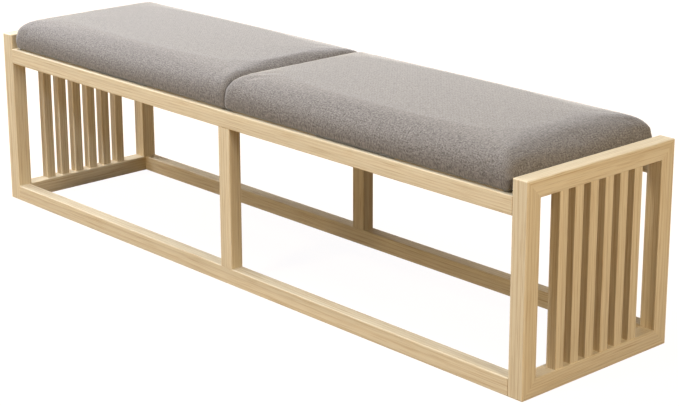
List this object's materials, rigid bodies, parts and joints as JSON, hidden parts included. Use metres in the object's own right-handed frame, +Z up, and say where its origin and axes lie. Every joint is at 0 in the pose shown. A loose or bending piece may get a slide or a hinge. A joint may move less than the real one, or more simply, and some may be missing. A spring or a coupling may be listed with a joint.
{
  "type": "bed bench",
  "caption": "Long low bench for the foot of a bed: mitred, slatted wooden end frames, floor and seat rails, and upholstered lift-off seat pads.",
  "frame": {"origin": "on the floor under the middle of the bench", "axes": "+X along the bench towards its right end, +Y towards its back, +Z up; the front faces -Y"},
  "size_m": [1.63, 0.4, 0.441],
  "materials": {
    "pale_wood": "satin",
    "bearer_wood": "matte",
    "dowel_beech": "matte",
    "plywood": "matte",
    "seat_fabric": "matte",
    "dust_cloth": "matte",
    "foam": "matte",
    "steel": "satin",
    "cam_alloy": "satin"
  },
  "bodies": {
    "frame": {"left_end_front_post": "pale_wood", "left_end_rear_post": "pale_wood", "left_end_top_rail": "pale_wood", "left_end_bottom_rail": "pale_wood", "left_end_slat_1": "pale_wood", "left_end_slat_2": "pale_wood", "left_end_slat_3": "pale_wood", "left_end_slat_4": "pale_wood", "left_end_slat_5": "pale_wood", "left_end_slat_6": "pale_wood", "right_end_front_post": "pale_wood", "right_end_rear_post": "pale_wood", "right_end_top_rail": "pale_wood", "right_end_bottom_rail": "pale_wood", "right_end_slat_1": "pale_wood", "right_end_slat_2": "pale_wood", "right_end_slat_3": "pale_wood", "right_end_slat_4": "pale_wood", "right_end_slat_5": "pale_wood", "right_end_slat_6": "pale_wood", "front_seat_rail": "pale_wood", "front_floor_rail": "pale_wood", "front_centre_post": "pale_wood", "rear_seat_rail": "pale_wood", "rear_floor_rail": "pale_wood", "rear_centre_post": "pale_wood", "seat_bearer_left": "bearer_wood", "seat_bearer_centre": "bearer_wood", "seat_bearer_right": "bearer_wood", "left_end_mitre_tenons": "dowel_beech", "right_end_mitre_tenons": "dowel_beech", "rail_dowels": "dowel_beech", "centre_post_dowels": "dowel_beech", "rail_cam_bolts": "steel", "rail_cams": "cam_alloy", "bearer_screws": "steel"},
    "left_pad": {"left_pad_cover": "seat_fabric", "left_pad_foam": "foam", "left_pad_board": "plywood", "left_pad_dust_cloth": "dust_cloth", "left_pad_batten_inner": "bearer_wood", "left_pad_batten_outer": "bearer_wood", "left_pad_screws": "steel"},
    "right_pad": {"right_pad_cover": "seat_fabric", "right_pad_foam": "foam", "right_pad_board": "plywood", "right_pad_dust_cloth": "dust_cloth", "right_pad_batten_inner": "bearer_wood", "right_pad_batten_outer": "bearer_wood", "right_pad_screws": "steel"}
  },
  "joints": [
    {"name": "left_pad_lift", "type": "slide", "parent": "frame", "child": "left_pad", "axis": [0, 0, 1], "range_m": [0, 0.06]},
    {"name": "right_pad_lift", "type": "slide", "parent": "frame", "child": "right_pad", "axis": [0, 0, 1], "range_m": [0, 0.06]}
  ]
}
